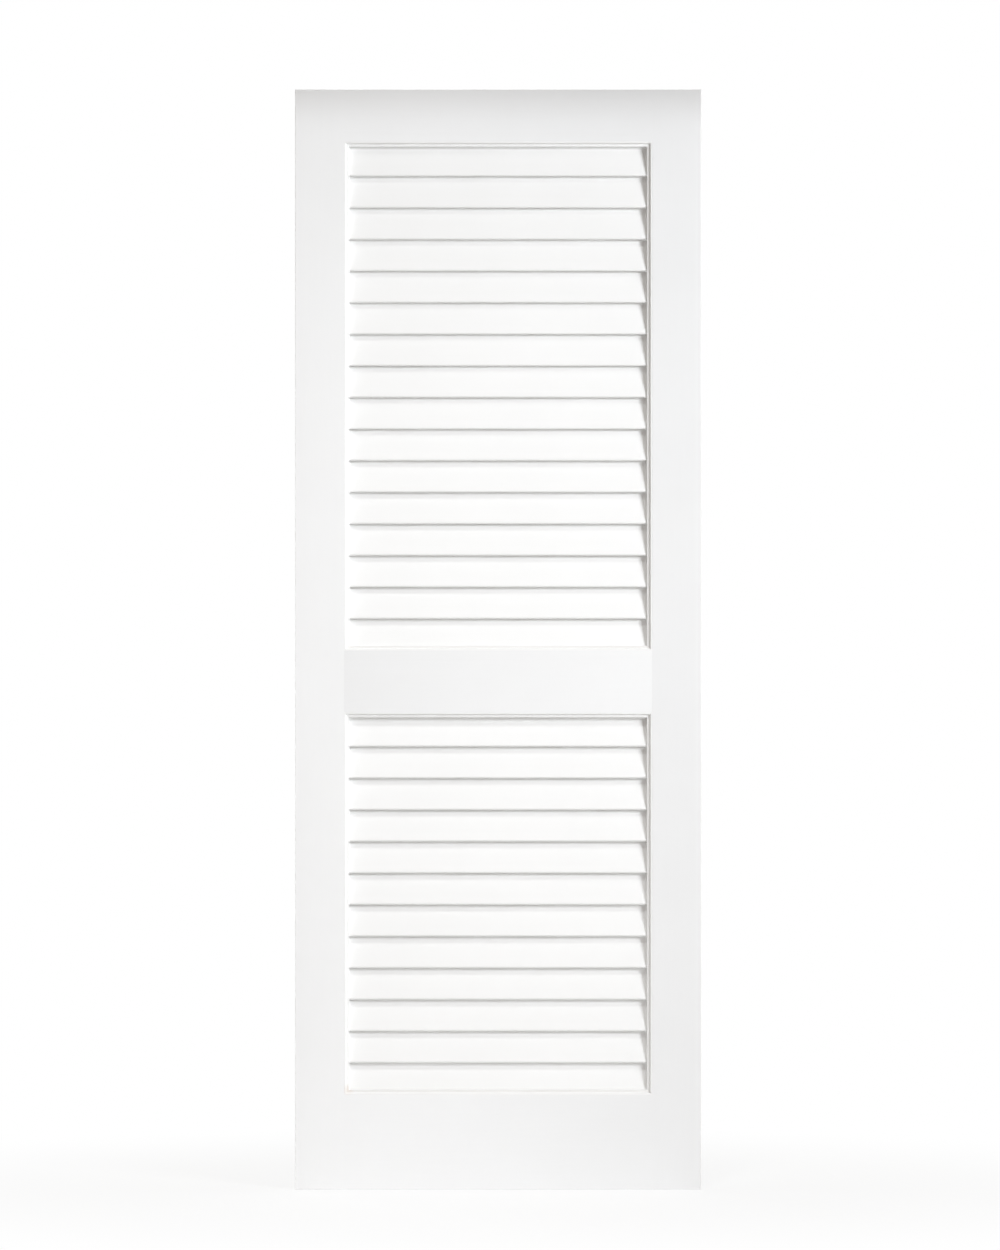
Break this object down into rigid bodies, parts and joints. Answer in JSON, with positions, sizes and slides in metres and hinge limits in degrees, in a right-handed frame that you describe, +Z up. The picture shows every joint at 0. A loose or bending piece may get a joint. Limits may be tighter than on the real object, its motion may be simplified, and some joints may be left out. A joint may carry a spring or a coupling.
{
  "type": "louvered closet door",
  "caption": "White painted louvered closet door leaf: doweled stile and rail frame, mitred liners and two banks of fixed slanting slats",
  "frame": {"origin": "middle of the bottom edge of the leaf, half way through its thickness", "axes": "+Z up along the stiles, +X to the right seen from the front, the front face looks along -Y"},
  "size_m": [0.75, 0.035, 2.032],
  "materials": {
    "frame_paint": "white satin paint over solid wood",
    "liner_paint": "white satin paint over solid wood",
    "slat_paint": "white satin paint over solid wood",
    "dowel_wood": "bare hardwood"
  },
  "bodies": {
    "root": {"left_stile": "frame_paint", "right_stile": "frame_paint", "top_rail": "frame_paint", "lock_rail": "frame_paint", "bottom_rail": "frame_paint", "upper_liner_left": "liner_paint", "upper_liner_right": "liner_paint", "upper_liner_head": "liner_paint", "upper_liner_sill": "liner_paint", "lower_liner_left": "liner_paint", "lower_liner_right": "liner_paint", "lower_liner_head": "liner_paint", "lower_liner_sill": "liner_paint", "upper_slat_01": "slat_paint", "upper_slat_02": "slat_paint", "upper_slat_03": "slat_paint", "upper_slat_04": "slat_paint", "upper_slat_05": "slat_paint", "upper_slat_06": "slat_paint", "upper_slat_07": "slat_paint", "upper_slat_08": "slat_paint", "upper_slat_09": "slat_paint", "upper_slat_10": "slat_paint", "upper_slat_11": "slat_paint", "upper_slat_12": "slat_paint", "upper_slat_13": "slat_paint", "upper_slat_14": "slat_paint", "upper_slat_15": "slat_paint", "upper_slat_16": "slat_paint", "lower_slat_01": "slat_paint", "lower_slat_02": "slat_paint", "lower_slat_03": "slat_paint", "lower_slat_04": "slat_paint", "lower_slat_05": "slat_paint", "lower_slat_06": "slat_paint", "lower_slat_07": "slat_paint", "lower_slat_08": "slat_paint", "lower_slat_09": "slat_paint", "lower_slat_10": "slat_paint", "lower_slat_11": "slat_paint", "lower_slat_12": "slat_paint", "top_rail_left_dowel_1": "dowel_wood", "top_rail_left_dowel_2": "dowel_wood", "top_rail_right_dowel_1": "dowel_wood", "top_rail_right_dowel_2": "dowel_wood", "lock_rail_left_dowel_1": "dowel_wood", "lock_rail_left_dowel_2": "dowel_wood", "lock_rail_right_dowel_1": "dowel_wood", "lock_rail_right_dowel_2": "dowel_wood", "bottom_rail_left_dowel_1": "dowel_wood", "bottom_rail_left_dowel_2": "dowel_wood", "bottom_rail_left_dowel_3": "dowel_wood", "bottom_rail_right_dowel_1": "dowel_wood", "bottom_rail_right_dowel_2": "dowel_wood", "bottom_rail_right_dowel_3": "dowel_wood"}
  },
  "joints": []
}
